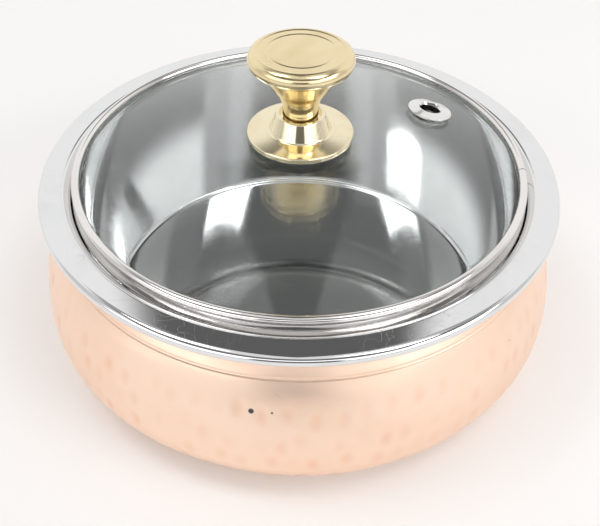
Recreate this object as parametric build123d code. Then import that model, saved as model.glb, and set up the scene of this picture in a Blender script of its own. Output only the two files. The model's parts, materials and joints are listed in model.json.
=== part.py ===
from build123d import *
from math import asin, atan, cos, degrees, radians, sin, sqrt
import os

# Squat double-walled serving pan: a copper shell round a steel bowl, with a domed glass lid and a brass knob.
# Millimetres, +Z up, origin at the middle of the base on the table.

# Pan: copper shell outside, steel bowl inside as its liner
neck_r = 73.0               # copper's outside at the narrowest part of the neck
belly_bulge = 12.4          # how far the widest part stands out past the neck
belly_rise = 35.5           # from the widest part up to the neck
foot_curve_r = 17.0         # round from the flat base up to the widest part
neck_cove_r = 5.0           # hollow round of the neck on the copper's outside
shell_t = 0.7               # copper sheet
liner_t = 0.8               # steel sheet
shell_gap = 0.12            # air between copper and steel round the neck
liner_corner_r = 2.0        # round between the liner's floor and its wall, inside
wall_lean_deg = 11.0        # how far the liner's wall leans out at its foot
wall_bow_deg = 10.0         # how much it straightens up to the neck
shell_tuck_deg = 35.0       # turn of the copper's edge outwards, under the steel lip
flare_deg = 50.0            # turn of the steel from the neck out to the lip
lip_bend_r = 2.0            # crease between flare and lip, on the top face
lip_w = 5.15                # flat width of the lip
rim_roll_r = 1.8            # rolled edge, outside
rim_roll_deg = 250.0        # how far the edge is rolled under
line_drop = 7.8             # turned line on the copper shoulder, below the neck
line_r = 0.9                # round of the tool that turned the line
line_depth = 0.25

# Lid: sagged glass disc in a bent steel band
seat_overlap = 0.6          # how far the band stands out past the neck's inside
seat_gap = 0.2              # from the band's foot to the liner's flare
band_t = 0.5                # steel strip
band_foot_r = 0.9           # round of the band's foot, outside
band_lean_deg = 12.0        # the wall leans in towards the bead
band_groove_r = 0.6         # hollow under the bead
band_groove_deg = 25.0      # outward turn from the hollow into the bead
band_bead_r = 1.3           # bead that grips the glass, outside
band_lap = 2.2              # flat under the glass, from the foot inwards
bead_clear = 0.03           # from the bead's edge to the glass
band_seam = 0.3             # butt joint of the strip
band_seam_deg = -4.0        # where the butt joint is, seen from above
glass_t = 3.5
glass_rise = 9.5            # crown of the glass above its edge
glass_edge_clear = 0.5      # from the glass edge to the band's wall
glass_edge_round = 0.8      # ground edge
seal_t = 0.5                # bedding under the glass edge
seal_bed = 0.03             # bedding's skin, so that it only touches the glass

# Steam vent: flanged eyelet clinched over a washer
vent_inset = 21.14          # from the glass edge in to the vent's axis
vent_place_deg = 27.8       # seen from above
vent_r = 3.4                # open hole
vent_wall = 0.5
vent_flange_w = 3.5         # from the tube out to the flange's edge
vent_flange_h = 1.2         # crown of the flange above the glass
vent_hole_clear = 0.5       # from the eyelet's tube to the glass
vent_washer_w = 2.7         # from the tube out to the washer's edge
vent_washer_t = 0.6
vent_washer_clear = 0.1     # between tube and washer
vent_clinch_w = 1.3         # turned-out end that holds the washer

# Knob: turned brass handle on a turned rosette, drawn down by one screw
stem_foot_r = 5.55
stem_foot_round = 1.2
stem_clear = 1.05           # open ring between stem and lip
bell_lip_w = 0.8            # width of the lip round the stem
bell_spread = 2.4           # how much wider the bell is at its foot
bell_h = 5.6                # from the flange up to the lip
bell_recess = 1.4           # depth of the stem's seat
rosette_w = 6.7             # flange, from the bell out to its edge
rosette_edge_h = 1.5        # thickness of the flange at its edge
rosette_slope = 0.5         # rise of the flange towards the bell
rosette_round = 0.5         # rounded edges of flange and lip
bell_foot_round = 1.0       # hollow between bell and flange
stem_waist_r = 5.5
stem_waist_h = 3.5          # waist above the seat
stem_flare_r = 8.4          # where the stem's flare runs into the disc's underside
stem_h = 10.1               # from the seat to the disc's underside
disc_r = 15.8
disc_edge_r = 2.6           # round edge of the disc
disc_under_rise = 6.7       # underside rises towards the edge
disc_top_step = 0.15        # turned step inside the edge
disc_step_w = 0.5
disc_ring_inset = 2.6       # turned ring on the top, inside the step
disc_ring_depth = 0.1
disc_ring_w = 0.5
disc_cone_h = 0.4           # shallow cone in the middle of the top
knob_hole_deep = 9.0        # threaded hole in the stem, modelled plain

# Knob fixings under the glass
screw_r = 2.5
screw_head_w = 2.25         # how far the head stands out past the shank
screw_head_h = 3.0
screw_head_round = 1.4
screw_cross_w = 1.1
screw_cross_l = 5.2
screw_cross_deep = 1.6
screw_end_clear = 1.0       # from the screw's end to the bottom of its hole
thread_clear = 0.1          # between the plain shank and the holes round it
sleeve_w = 0.95             # sleeve that keeps the screw off the glass
sleeve_h = 2.4
sleeve_clear = 0.15         # from the sleeve to the glass
gasket_upper_t = 0.8
gasket_upper_inset = 1.6    # rosette edge to gasket edge
gasket_lower_w = 4.9        # from the hole to the edge, as on the two washers
gasket_lower_t = 1.2
washer_w = 4.4
washer_t = 1.0
lock_washer_w = 1.7
lock_washer_t = 1.2
lock_washer_slit = 0.8

# What follows from those sizes
liner_depth = shell_t + shell_gap + liner_t
belly_r = neck_r + belly_bulge
base_r = belly_r - foot_curve_r
shoulder_deg = 2 * degrees(atan(belly_bulge / belly_rise))
belly_curve_r = belly_rise / sin(radians(shoulder_deg)) - neck_cove_r
neck_z = foot_curve_r + belly_rise
neck_in_r = neck_r - liner_depth
flare_in_r = neck_cove_r + liner_depth
shank_hole_r = screw_r + thread_clear
through = 4 * glass_t       # longer than any hole that it cuts


def path(start, moves, depth):
    """Edges of one face of a bent sheet, as (radius, height). It sets out along +radius.

    A move is a run ("run", length) or a bend ("left" or "right", radius, degrees). The radii belong
    to the face at depth 0, and depth is counted to the left of the way the sheet runs.
    """
    edges = []
    here = Vector(start[0], start[1] + depth)
    way = Vector(1, 0)
    for kind, size, *turn in moves:
        if kind == "run":
            edge = Line(here, here + way * size)
        elif kind == "left":
            edge = JernArc(here, way, size - depth, turn[0])
        else:
            edge = JernArc(here, way, size + depth, -turn[0])
        edges.append(edge)
        here = edge @ 1
        way = edge % 1
    return edges


def turned(edges):
    """Solid turned about Z from a closed outline of (radius, height)."""
    return revolve(Plane.XZ * Face(Wire(edges)), Axis.Z)


def turned_points(*points):
    """Solid turned about Z from straight-sided corners."""
    return turned(Polyline(*points, close=True).edges())


def bent_sheet(start, moves, face, back):
    """Sheet turned about Z between two depths of the same run of bends."""
    near = path(start, moves, face)
    far = path(start, moves, back)
    foot = Line(near[0] @ 0, far[0] @ 0)
    end = Line(near[-1] @ 1, far[-1] @ 1)
    return turned([*near, *far, foot, end])


def ring(inner, outer, low, high):
    return turned_points((inner, low), (outer, low), (outer, high), (inner, high))


# Copper shell and steel liner
body_moves = [
    ("run", base_r),
    ("left", foot_curve_r, 90),
    ("left", belly_curve_r, shoulder_deg),
]
tuck_moves = [("right", neck_cove_r, shoulder_deg + shell_tuck_deg)]


def make_copper_shell():
    shell = bent_sheet((0, 0), body_moves + tuck_moves, 0, shell_t)
    slope = asin((belly_rise - line_drop) / belly_curve_r)
    tool_at = belly_curve_r + line_r - line_depth
    tool_r = belly_r - belly_curve_r + tool_at * cos(slope)
    tool_z = foot_curve_r + tool_at * sin(slope)
    return shell - Pos(0, 0, tool_z) * Torus(tool_r, line_r)


# The liner's floor lies on the copper, and its wall is one slow curve up to the neck's hollow round
lean_foot = radians(wall_lean_deg)
lean_top = radians(wall_lean_deg - wall_bow_deg)
wall_top_r = neck_in_r + flare_in_r * (1 - cos(lean_top))
wall_top_z = neck_z - shell_gap + flare_in_r * sin(lean_top)
wall_rise = wall_top_z - shell_t - liner_t - liner_corner_r * (1 - sin(lean_foot))
wall_curve_r = wall_rise / (sin(lean_foot) - sin(lean_top))
wall_reach = wall_curve_r * (cos(lean_top) - cos(lean_foot))
floor_r = wall_top_r - wall_reach - liner_corner_r * cos(lean_foot)


def make_steel_liner():
    moves = [
        ("run", floor_r),
        ("left", liner_corner_r + liner_t, 90 - wall_lean_deg),
        ("left", wall_curve_r + liner_t, wall_bow_deg),
        ("right", flare_in_r - liner_t, flare_deg - wall_lean_deg + wall_bow_deg),
        ("right", lip_bend_r - liner_t, 90 - flare_deg),
        ("run", lip_w),
        ("right", rim_roll_r - liner_t, rim_roll_deg),
    ]
    return bent_sheet((0, shell_t), moves, 0, liner_t)


# Lid band: the foot sits in the liner's flare, and the bead closes on the glass
band_out_r = neck_in_r + seat_overlap
foot_mid_r = band_out_r - band_foot_r
flare_mid_r = neck_in_r + flare_in_r
foot_to_flare = flare_in_r + band_foot_r + seat_gap
foot_mid_z = neck_z - shell_gap + sqrt(foot_to_flare**2 - (flare_mid_r - foot_mid_r) ** 2)
band_low_z = foot_mid_z - band_foot_r
lean = radians(band_lean_deg)
groove = radians(band_groove_deg)

# Glass: two parallel domes, standing on the bedding in the band
wall_in_r = foot_mid_r + (band_foot_r - band_t) * cos(lean)
wall_shift = sin(lean) * (glass_t + seal_t)
glass_r = wall_in_r - wall_shift - glass_edge_clear
dome_r = (glass_r**2 + glass_rise**2) / (2 * glass_rise)
glass_low_z = band_low_z + band_t + seal_t


def sag(radius, of_dome):
    """Drop of a dome from its crown at that radius."""
    return of_dome - sqrt(of_dome**2 - radius**2)


dome_in_r = dome_r - glass_t
crown_z = glass_low_z + glass_t + sag(glass_r, dome_in_r)
crown_in_z = crown_z - glass_t
dome_mid_z = crown_z - dome_r

# The wall runs up until the bead's edge meets the glass
bends_rise = (
    band_foot_r * (1 + sin(lean))
    + band_groove_r * (sin(groove) + sin(lean))
    + band_bead_r * sin(groove)
)
bends_reach = (
    band_foot_r * cos(lean)
    + band_groove_r * (cos(lean) - cos(groove))
    - band_bead_r * (1 + cos(groove))
)
edge_r = foot_mid_r + bends_reach
edge_z = band_low_z + bends_rise - dome_mid_z
along = edge_r * sin(lean) - edge_z * cos(lean)
wall_h = along + sqrt(along**2 + (dome_r + bead_clear) ** 2 - edge_r**2 - edge_z**2)


def make_rim_band():
    moves = [
        ("run", band_lap),
        ("left", band_foot_r, 90 + band_lean_deg),
        ("run", wall_h),
        ("right", band_groove_r, band_lean_deg + band_groove_deg),
        ("left", band_bead_r, 180 + band_groove_deg),
    ]
    band = bent_sheet((foot_mid_r - band_lap, band_low_z), moves, 0, band_t)
    slit = Box(2 * band_out_r, band_seam, through, align=(Align.MIN, Align.CENTER, Align.CENTER))
    return band - Rot(0, 0, band_seam_deg) * Pos(0, 0, glass_low_z) * slit


def make_band_seal():
    """Bedding on the band's flat, shaped on top by the glass."""
    block = ring(foot_mid_r - band_lap, foot_mid_r, band_low_z + band_t, crown_z)
    under_glass = Pos(0, 0, dome_mid_z) * Sphere(dome_in_r - seal_bed)
    return (block & under_glass).solid()


def make_lid_glass():
    top = JernArc((0, crown_z), (1, 0), dome_r, -degrees(asin(glass_r / dome_r)))
    under = JernArc((0, crown_in_z), (1, 0), dome_in_r, -degrees(asin(glass_r / dome_in_r)))
    rim = Line(top @ 1, under @ 1)
    glass = turned([top, rim, under, Line(top @ 0, under @ 0)])
    edges = glass.edges().filter_by(GeomType.CIRCLE)
    glass = fillet(edges, glass_edge_round)
    glass -= Pos(0, 0, crown_in_z) * Cylinder(sleeve_r + sleeve_clear, through)
    return glass - vent_place * Cylinder(vent_tube_r + vent_hole_clear, through)


# Vent: its own axis stands square on the dome
vent_place_r = glass_r - vent_inset
vent_tilt = asin(vent_place_r / dome_r)
vent_place = (
    Rot(0, 0, vent_place_deg)
    * Pos(vent_place_r, 0, dome_mid_z + dome_r * cos(vent_tilt))
    * Rot(0, degrees(vent_tilt), 0)
)
vent_tube_r = vent_r + vent_wall
vent_washer_r = vent_tube_r + vent_washer_w
vent_washer_z = -glass_t - sag(vent_washer_r, dome_in_r)
vent_end_z = vent_washer_z - vent_washer_t


def make_vent_eyelet():
    bottom = vent_end_z - vent_wall
    flange_r = vent_tube_r + vent_flange_w
    outline = Polyline(
        (vent_r, bottom),
        (vent_tube_r + vent_clinch_w, bottom),
        (vent_tube_r + vent_clinch_w, vent_end_z),
        (vent_tube_r, vent_end_z),
        (vent_tube_r, 0),
        (flange_r, 0),
        (flange_r, vent_wall),
        (vent_tube_r + vent_wall, vent_flange_h),
        (vent_tube_r, vent_flange_h),
        (vent_r, vent_wall),
        close=True,
    )
    return vent_place * turned(outline.edges())


def make_vent_washer():
    inside = vent_tube_r + vent_washer_clear
    return vent_place * ring(inside, vent_washer_r, vent_end_z, vent_washer_z)


# Knob stack, from the glass upwards
rosette_z = crown_z + gasket_upper_t
flange_top_z = rosette_z + rosette_edge_h
lip_z = flange_top_z + rosette_slope + bell_h
seat_z = lip_z - bell_recess
disc_z = seat_z + stem_h
seat_r = stem_foot_r + stem_clear
bell_lip_r = seat_r + bell_lip_w
bell_foot_r = bell_lip_r + bell_spread
rosette_r = bell_foot_r + rosette_w


def make_knob_gasket_upper():
    """Flat on top, and dished underneath to lie on the glass."""
    block = ring(shank_hole_r, rosette_r - gasket_upper_inset, crown_in_z, rosette_z)
    return (block - Pos(0, 0, dome_mid_z) * Sphere(dome_r + seal_bed)).solid()


def make_knob_rosette():
    rosette = turned_points(
        (shank_hole_r, rosette_z),
        (rosette_r, rosette_z),
        (rosette_r, flange_top_z),
        (bell_foot_r, flange_top_z + rosette_slope),
        (bell_lip_r, lip_z),
        (seat_r, lip_z),
        (seat_r, seat_z),
        (shank_hole_r, seat_z),
    )
    circles = rosette.edges().filter_by(GeomType.CIRCLE)
    rosette = fillet(circles.group_by(SortBy.RADIUS)[-2], bell_foot_round)
    circles = rosette.edges().filter_by(GeomType.CIRCLE)
    flange_edge = circles.group_by(SortBy.RADIUS)[-1].sort_by(Axis.Z)[-1]
    lip_edge = circles.group_by(Axis.Z)[-1].sort_by(SortBy.RADIUS)[-1]
    return fillet([flange_edge, lip_edge], rosette_round)


def make_knob_handle():
    hole_top = seat_z + knob_hole_deep
    edge_mid_r = disc_r - disc_edge_r
    edge_low_z = disc_z + disc_under_rise
    top_z = edge_low_z + 2 * disc_edge_r
    face_z = top_z - disc_top_step
    step_r = edge_mid_r - disc_step_w
    ring_r = step_r - disc_ring_inset
    bottom = Polyline(
        (0, hole_top),
        (shank_hole_r, hole_top),
        (shank_hole_r, seat_z),
        (stem_foot_r - stem_foot_round, seat_z),
    )
    foot = JernArc(bottom @ 1, (1, 0), stem_foot_round, 90)
    stem = ThreePointArc(foot @ 1, (stem_waist_r, seat_z + stem_waist_h), (stem_flare_r, disc_z))
    under = Line(stem @ 1, (edge_mid_r, edge_low_z))
    edge = JernArc(under @ 1, (1, 0), disc_edge_r, 180)
    top = Polyline(
        edge @ 1,
        (step_r, face_z),
        (ring_r + disc_ring_w, face_z),
        (ring_r, face_z - disc_ring_depth),
        (ring_r - disc_ring_w, face_z),
        (0, face_z + disc_cone_h),
        (0, hole_top),
    )
    return turned([*bottom.edges(), foot, stem, under, edge, *top.edges()])


# Fixings, from the glass downwards
sleeve_r = shank_hole_r + sleeve_w
gasket_lower_r = shank_hole_r + gasket_lower_w
lock_washer_r = shank_hole_r + lock_washer_w
gasket_top_z = crown_in_z - sag(gasket_lower_r, dome_in_r)
washer_top_z = gasket_top_z - gasket_lower_t
lock_top_z = washer_top_z - washer_t
head_top_z = lock_top_z - lock_washer_t


def make_knob_gasket_lower():
    return turned_points(
        (shank_hole_r, washer_top_z),
        (gasket_lower_r, washer_top_z),
        (gasket_lower_r, gasket_top_z),
        (sleeve_r, gasket_top_z),
        (sleeve_r, gasket_top_z + sleeve_h),
        (shank_hole_r, gasket_top_z + sleeve_h),
    )


def make_knob_washer():
    return ring(shank_hole_r, shank_hole_r + washer_w, lock_top_z, washer_top_z)


def make_knob_lock_washer():
    whole = ring(shank_hole_r, lock_washer_r, head_top_z, lock_top_z)
    slit = Box(2 * lock_washer_r, lock_washer_slit, through, align=(Align.MIN, Align.CENTER, Align.CENTER))
    return whole - Pos(0, 0, head_top_z) * slit


def make_knob_screw():
    end_z = seat_z + knob_hole_deep - screw_end_clear
    head_low_z = head_top_z - screw_head_h
    shank = Pos(0, 0, head_top_z) * Cylinder(
        screw_r, end_z - head_top_z, align=(Align.CENTER, Align.CENTER, Align.MIN)
    )
    head = Pos(0, 0, head_low_z) * Cylinder(
        screw_r + screw_head_w, screw_head_h, align=(Align.CENTER, Align.CENTER, Align.MIN)
    )
    head = fillet(head.edges().group_by(Axis.Z)[0], screw_head_round)
    for turn in (0, 90):
        bar = Box(screw_cross_l, screw_cross_w, screw_cross_deep * 2)
        head -= Pos(0, 0, head_low_z) * Rot(0, 0, turn) * bar
    return head + shank


pieces = {
    "copper_shell": make_copper_shell(),
    "steel_liner": make_steel_liner(),
    "rim_band": make_rim_band(),
    "band_seal": make_band_seal(),
    "lid_glass": make_lid_glass(),
    "vent_eyelet": make_vent_eyelet(),
    "vent_washer": make_vent_washer(),
    "knob_gasket_upper": make_knob_gasket_upper(),
    "knob_rosette": make_knob_rosette(),
    "knob_handle": make_knob_handle(),
    "knob_gasket_lower": make_knob_gasket_lower(),
    "knob_washer": make_knob_washer(),
    "knob_lock_washer": make_knob_lock_washer(),
    "knob_screw": make_knob_screw(),
}

os.makedirs("parts", exist_ok=True)
for name, piece in pieces.items():
    export_step(piece, f"parts/{name}.step")
    size = piece.bounding_box().size
    print(f"{name}: {size.X:.1f} x {size.Y:.1f} x {size.Z:.1f} mm")
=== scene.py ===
# %% [markdown]
# # A copper serving pan with a glass lid
#
# The object is a squat serving pan: a hammered copper shell, a polished steel liner that forms the lip,
# and a domed glass lid with a steel band, a steam vent and a turned brass knob. The solid model already
# fixes every size and joint. This script dresses it: the pieces are built again as smooth meshes with
# real finishes. The frame is loaded first, because each piece is tied to a body of that frame.

# %% Load the frame
import json
import math

import bmesh
import bpy
from mathutils import Matrix, Vector


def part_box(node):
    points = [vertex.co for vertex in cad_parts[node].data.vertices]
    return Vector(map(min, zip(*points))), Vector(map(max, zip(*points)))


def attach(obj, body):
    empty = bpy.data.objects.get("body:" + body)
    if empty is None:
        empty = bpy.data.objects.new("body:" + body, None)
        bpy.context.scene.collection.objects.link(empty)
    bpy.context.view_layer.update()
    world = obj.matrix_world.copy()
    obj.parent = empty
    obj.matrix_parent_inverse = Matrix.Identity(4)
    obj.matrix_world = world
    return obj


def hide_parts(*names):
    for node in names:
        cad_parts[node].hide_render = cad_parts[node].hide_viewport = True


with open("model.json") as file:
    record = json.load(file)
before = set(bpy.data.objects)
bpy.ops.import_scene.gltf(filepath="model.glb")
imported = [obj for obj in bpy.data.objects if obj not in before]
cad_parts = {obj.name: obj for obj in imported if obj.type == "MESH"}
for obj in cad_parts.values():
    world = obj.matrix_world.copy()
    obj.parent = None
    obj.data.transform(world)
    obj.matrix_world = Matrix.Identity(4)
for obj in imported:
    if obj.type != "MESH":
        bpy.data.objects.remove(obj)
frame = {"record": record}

scene = bpy.context.scene
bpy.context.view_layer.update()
MM = 0.001

# %% [markdown]
# ## Drawing bent sheet and turned corners
#
# Nearly everything here was spun or turned on a lathe, so each piece is a closed outline of radius and
# height, swept round the Z axis. Two helpers draw outlines. One follows a sheet through its runs and
# bends, the way a spinner presses it over a form. The other takes corners and rounds each one, because a
# real edge is never perfectly sharp and the small round is what catches the light. A Screw modifier could
# sweep the outline too, but plain mesh code keeps the poles closed and lets a ring stay open at a slit.

# %% Outline helpers
BEND_STEP = 5.0      # degrees between points on a bend
BEND_CHORD = 1.2     # longest step along a bend, in mm


def bend_points(middle, radius, first, sweep, chord=BEND_CHORD):
    """Points on an arc about middle, without its first point. Angles are in radians."""
    by_angle = math.degrees(abs(sweep)) / BEND_STEP
    by_length = abs(sweep) * radius / chord
    steps = max(2, math.ceil(max(by_angle, by_length)))
    angles = [first + sweep * step / steps for step in range(1, steps + 1)]
    return [(middle[0] + radius * math.cos(a), middle[1] + radius * math.sin(a)) for a in angles]


def sheet_face(start, moves, depth, chord=BEND_CHORD):
    """Points along one face of a bent sheet, which sets out along +radius.

    A move is ("run", length) or ("left" or "right", radius, degrees), and a bend may end with a step of
    its own. The radii belong to the face at depth 0, and depth is counted to the left of the way the
    sheet runs.
    """
    points = [(start[0], start[1] + depth)]
    heading = 0.0
    for kind, size, *bend in moves:
        r, z = points[-1]
        if kind == "run":
            points.append((r + size * math.cos(heading), z + size * math.sin(heading)))
            continue
        side = 1 if kind == "left" else -1
        radius = size - side * depth
        middle = (r - side * radius * math.sin(heading), z + side * radius * math.cos(heading))
        sweep = side * math.radians(bend[0])
        step = bend[1] if len(bend) > 1 else chord
        points += bend_points(middle, radius, heading - side * math.pi / 2, sweep, step)
        heading += sweep
    return points


def bent_sheet(start, moves, face, back):
    """Closed outline of a sheet between two depths of the same run of bends."""
    return sheet_face(start, moves, face) + sheet_face(start, moves, back)[::-1]


def rounded(corners):
    """Closed outline from corners (radius, height, round), each rounded by an arc of that size."""
    outline = []
    for place, (r, z, bend) in enumerate(corners):
        here = Vector((r, z))
        if not bend:
            outline.append((r, z))
            continue
        back = (Vector(corners[place - 1][:2]) - here).normalized()
        ahead = (Vector(corners[(place + 1) % len(corners)][:2]) - here).normalized()
        half = back.angle(ahead) / 2
        middle = here + (back + ahead).normalized() * bend / math.sin(half)
        first = here + back * bend / math.tan(half) - middle
        last = here + ahead * bend / math.tan(half) - middle
        start = math.atan2(first.y, first.x)
        sweep = math.atan2(last.y, last.x) - start
        sweep = (sweep + math.pi) % math.tau - math.pi
        outline.append(tuple(middle + first))
        outline += bend_points(middle, bend, start, sweep)
    return outline


print("outline helpers ready: bends of", BEND_STEP, "degrees, steps up to", BEND_CHORD, "mm")

# %% [markdown]
# ## Sweeping an outline, and handing a piece to the frame
#
# The sweep makes one ring of points for each outline point, or a single point where the outline touches
# the axis, so poles close by themselves. A slit leaves the sweep open and caps its two ends. Normals are
# recalculated once the mesh is whole, faces are smooth, and edges sharper than a set angle stay crisp.
# Each finished piece then replaces its CAD node, rides on that node's body and names its material slot.

# %% Sweep and hand over
SHARP = math.radians(32)     # edges that turn by more stay crisp
AXIS = 1e-6          # a point with a smaller radius is on the axis, mm
LONG_RUN = 2.0       # runs longer than this are held flat, mm
RUN_HOLD = 0.25      # how far from its ends, mm
TURNS, FINE_TURNS, SMALL_TURNS = 256, 360, 128      # steps round usual, wide and small pieces
UPRIGHT = Matrix.Identity(4)


def sweep_angles(turns, slit, slit_deg):
    """Angles round the axis, all the way or leaving out a slit given in radians."""
    if not slit:
        return [math.tau * step / turns for step in range(turns)]
    first = math.radians(slit_deg) + slit / 2
    return [first + (math.tau - slit) * step / turns for step in range(turns + 1)]


def held_flat(outline):
    """The outline with a point near each end of every long run, so that smooth shading keeps it flat."""
    held = []
    for here, ahead in zip(outline, outline[1:] + outline[:1]):
        held.append(here)
        first, last = Vector(here), Vector(ahead)
        if (last - first).length > LONG_RUN and max(here[0], ahead[0]) > AXIS:
            step = (last - first).normalized() * RUN_HOLD
            held += [tuple(first + step), tuple(last - step)]
    return held


def swept(name, outline, turns=TURNS, place=UPRIGHT, slit=0.0, slit_deg=0.0):
    """Mesh of a closed outline in mm, swept about Z and then moved by place."""
    outline = held_flat(outline)
    angles = sweep_angles(turns, slit, slit_deg)
    shape = bmesh.new()
    rings = []
    for r, z in outline:
        spots = angles if r > AXIS else [0.0]
        ring = [place @ Vector((r * math.cos(a), r * math.sin(a), z)) * MM for a in spots]
        rings.append([shape.verts.new(spot) for spot in ring])
    pairs = [(i, i + 1) for i in range(len(angles) - 1)]
    if not slit:
        pairs.append((len(angles) - 1, 0))
    for low, high in zip(rings, rings[1:] + rings[:1]):
        if len(low) == len(high) == 1:
            continue
        for i, j in pairs:
            corners = [low[i % len(low)], low[j % len(low)], high[j % len(high)], high[i % len(high)]]
            shape.faces.new(dict.fromkeys(corners))
    if slit:
        shape.faces.new([ring[0] for ring in rings])
        shape.faces.new([ring[-1] for ring in rings])
    bmesh.ops.recalc_face_normals(shape, faces=shape.faces)
    mesh = bpy.data.meshes.new(name)
    shape.to_mesh(mesh)
    shape.free()
    mesh.shade_smooth()
    mesh.set_sharp_from_angle(angle=SHARP)
    return mesh


def in_scene(name, data):
    """An object with that mesh, lamp or camera, linked into the scene."""
    made = bpy.data.objects.new(name, data)
    scene.collection.objects.link(made)
    return made


def solid_copy(piece):
    """The piece's mesh with its modifiers worked in, as a plain mesh."""
    graph = bpy.context.evaluated_depsgraph_get()
    return bpy.data.meshes.new_from_object(piece.evaluated_get(graph), depsgraph=graph)


def node_body(node):
    """The name of the body that a CAD node belongs to."""
    bodies = frame["record"]["behaviour"]["bodies"]
    return next(body for body, nodes in bodies.items() if node in nodes)


def hand_over(mesh, material, node):
    """A finished piece at the origin that stands for a CAD node and rides on its body."""
    mesh.materials.clear()
    mesh.materials.append(material)
    piece = in_scene(mesh.name, mesh)
    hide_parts(node)
    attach(piece, node_body(node))
    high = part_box(node)[1]
    reach = [max(vertex.co[axis] for vertex in mesh.vertices) for axis in range(3)]
    apart = max(abs(reach[axis] - high[axis]) for axis in range(3)) / MM
    print(f"{piece.name}: {len(mesh.polygons)} faces, {apart:.2f} mm from its solid")


# %% [markdown]
# ## Wiring nodes in a few words
#
# Materials and geometry trees are both made of nodes. These helpers add a node, set its values and link
# its inputs in one call, so that the recipes further down read like recipes. Anything that is a socket is
# linked, and anything else is written into the input as a plain value.

# %% Node helpers
def join(tree, value, socket):
    """Links a socket to an input, or writes a plain value into it."""
    if isinstance(value, bpy.types.NodeSocket):
        tree.links.new(value, socket)
    else:
        socket.default_value = value


def add(tree, kind, inputs=None, **settings):
    """A new node with its settings made and its inputs joined."""
    node = tree.nodes.new(kind)
    for name, value in settings.items():
        setattr(node, name, value)
    for name, value in (inputs or {}).items():
        join(tree, value, node.inputs[name])
    return node


def operate(tree, kind, operation, values):
    """Outputs of a node that works on the values."""
    node = add(tree, kind, operation=operation)
    for value, socket in zip(values, node.inputs):
        join(tree, value, socket)
    return node.outputs


def maths(tree, operation, *values):
    return operate(tree, "ShaderNodeMath", operation, values)[0]


def times(tree, first, second):
    return maths(tree, "MULTIPLY", first, second)


def plus(tree, first, second):
    return maths(tree, "ADD", first, second)


def vectors(tree, operation, *values, out=0):
    return operate(tree, "ShaderNodeVectorMath", operation, values)[out]


def noise(tree, inputs, **settings):
    """The value of a noise texture, about 0.5 on average."""
    return add(tree, "ShaderNodeTexNoise", inputs, **settings).outputs[0]


def ramp(tree, value, from_low, from_high, to_low=0.0, to_high=1.0):
    """The value carried from one range to another with soft ends, and held there."""
    node = add(tree, "ShaderNodeMapRange", interpolation_type="SMOOTHSTEP", clamp=True)
    for place, number in enumerate((value, from_low, from_high, to_low, to_high)):
        join(tree, number, node.inputs[place])
    return node.outputs[0]


def blended(tree, share, first, second):
    """Colour that goes from first to second with the share."""
    node = add(tree, "ShaderNodeMix", data_type="RGBA")
    join(tree, share, node.inputs[0])
    join(tree, first, node.inputs[6])
    join(tree, second, node.inputs[7])
    return node.outputs[2]


def new_group(name, inputs, outputs, kind="ShaderNodeTree"):
    """A node group with named inputs, their usual values, and named outputs."""
    tree = bpy.data.node_groups.new(name, kind)
    for socket_name, (socket_kind, value) in inputs.items():
        socket = tree.interface.new_socket(socket_name, in_out="INPUT", socket_type=socket_kind)
        if value is not None:
            socket.default_value = value
    for socket_name, socket_kind in outputs.items():
        tree.interface.new_socket(socket_name, in_out="OUTPUT", socket_type=socket_kind)
    given = tree.nodes.new("NodeGroupInput").outputs
    result = tree.nodes.new("NodeGroupOutput").inputs
    return tree, given, result


NUMBER, ARROW = "NodeSocketFloat", "NodeSocketVector"
print("node helpers ready")

# %% [markdown]
# ## Shared marks: polish lines, scratches and handling
#
# Spun and turned metal keeps very fine rings from the wheel that polished it. In use it picks up hairline
# scratches and dull patches where hands and cloths have been. All three are used by several metals here,
# so each is a shader group. The rings depend only on radius and height, the scratches are thin contour
# lines of a stretched noise, and the dull patches are a soft cloudy noise.

# %% Groups for marks
drift_scale = 60.0               # noise cells per metre where the polish lines wander
scratch_gate_scale = 45.0        # and where scratches come and go
scratch_gate = (0.52, 0.62)      # noise value at which a scratch starts, and is at its full depth
cloud_edge = (0.42, 0.7)         # noise value at which a dull patch starts, and is at its dullest
scratch_turns = ((20, 35, 15), (-50, 10, 70), (10, -40, 120))     # degrees
scratch_stretches = ((1, 6, 6), (6, 1, 6), (6, 6, 1))


def make_polish_lines():
    tree, given, result = new_group(
        "Polish lines",
        {"Vector": (ARROW, None), "Lines per mm": (NUMBER, 2.0), "Wander": (NUMBER, 0.3)},
        {"Height": NUMBER},
    )
    flat = vectors(tree, "MULTIPLY", given["Vector"], (1, 1, 0))
    radius = vectors(tree, "LENGTH", flat, out=1)
    height = add(tree, "ShaderNodeSeparateXYZ", {"Vector": given["Vector"]}).outputs["Z"]
    drift = noise(tree, {"Vector": given["Vector"], "Scale": drift_scale, "Detail": 1.0})
    drift = times(tree, times(tree, drift, given["Wander"]), MM)
    across = plus(tree, plus(tree, radius, height), drift)
    place = times(tree, across, times(tree, given["Lines per mm"], 1 / MM))
    lines = noise(tree, {"W": place, "Scale": 1.0, "Detail": 2.0}, noise_dimensions="1D")
    join(tree, lines, result["Height"])
    return tree


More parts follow.
